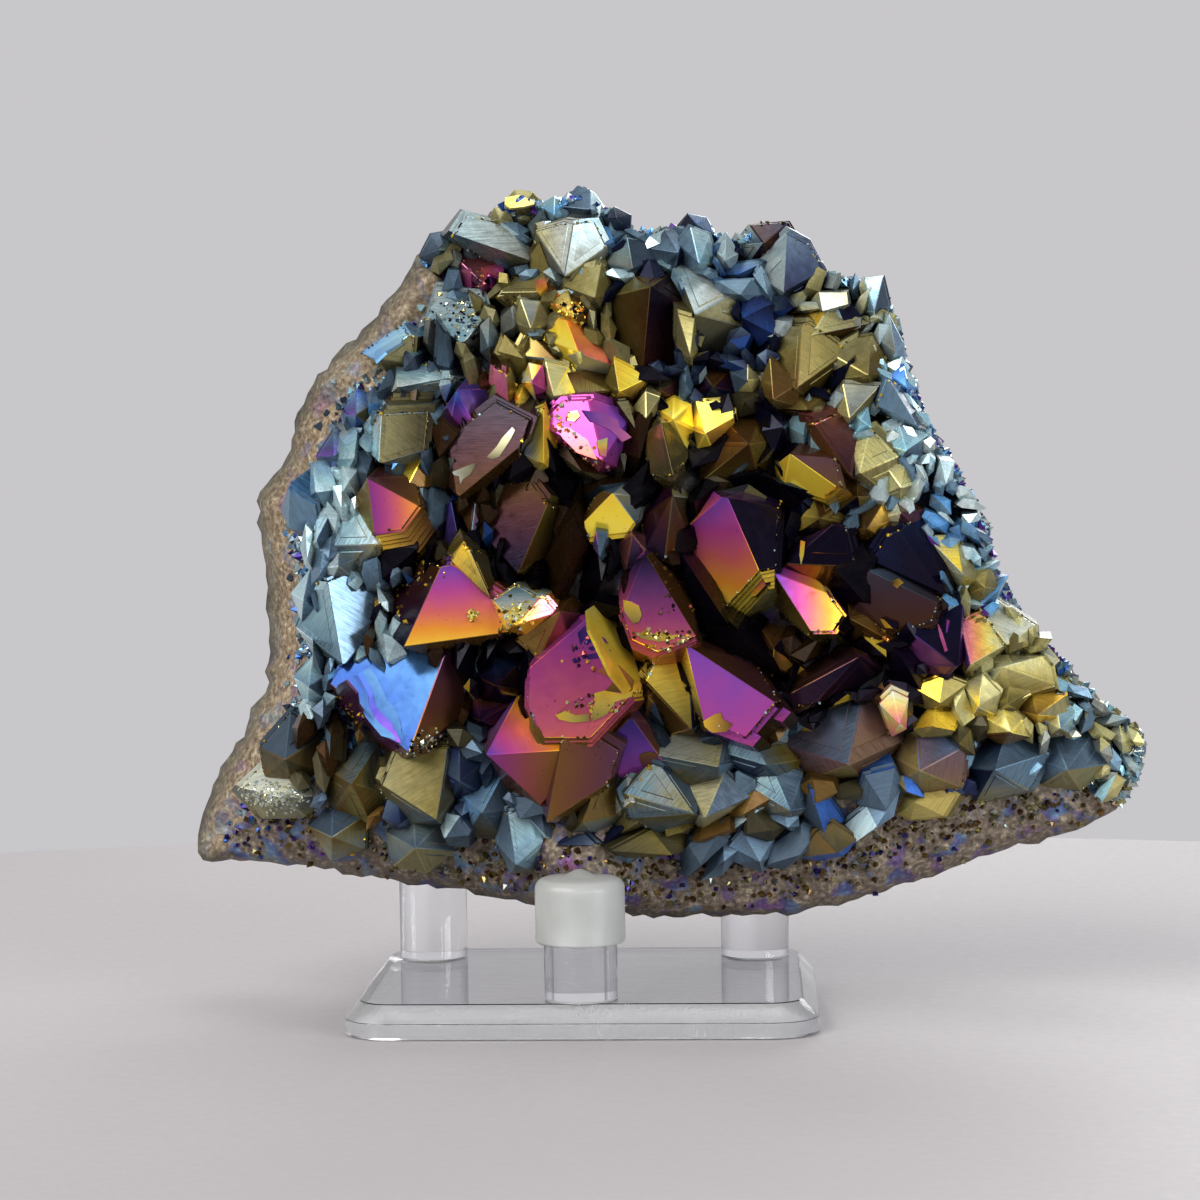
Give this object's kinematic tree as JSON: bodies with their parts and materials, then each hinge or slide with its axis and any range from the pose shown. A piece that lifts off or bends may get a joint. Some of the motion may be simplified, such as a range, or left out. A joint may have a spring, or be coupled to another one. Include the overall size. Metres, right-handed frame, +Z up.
{
  "type": "aura quartz cluster on stand",
  "caption": "Coated quartz cluster with rainbow crystal points on a rough rind, resting on a clear post display stand.",
  "frame": {"origin": "middle of the underside of the stand's base plate", "axes": "+Z up, +X along the cluster's width to the right of a viewer facing the crystals, crystals face -Y"},
  "size_m": [0.172, 0.0641, 0.1473],
  "materials": {
    "aura_quartz": "quartz points with an iridescent metal-oxide coating on an uncoated rough rind",
    "clear_acrylic": "clear, polished top and bevel, sawn edge",
    "milky_vinyl": "soft, milky, translucent"
  },
  "bodies": {
    "root": {"quartz_cluster": "aura_quartz", "stand_base": "clear_acrylic", "front_post": "clear_acrylic", "rear_left_post": "clear_acrylic", "rear_right_post": "clear_acrylic", "front_cap": "milky_vinyl", "rear_left_cap": "milky_vinyl", "rear_right_cap": "milky_vinyl"}
  },
  "joints": []
}
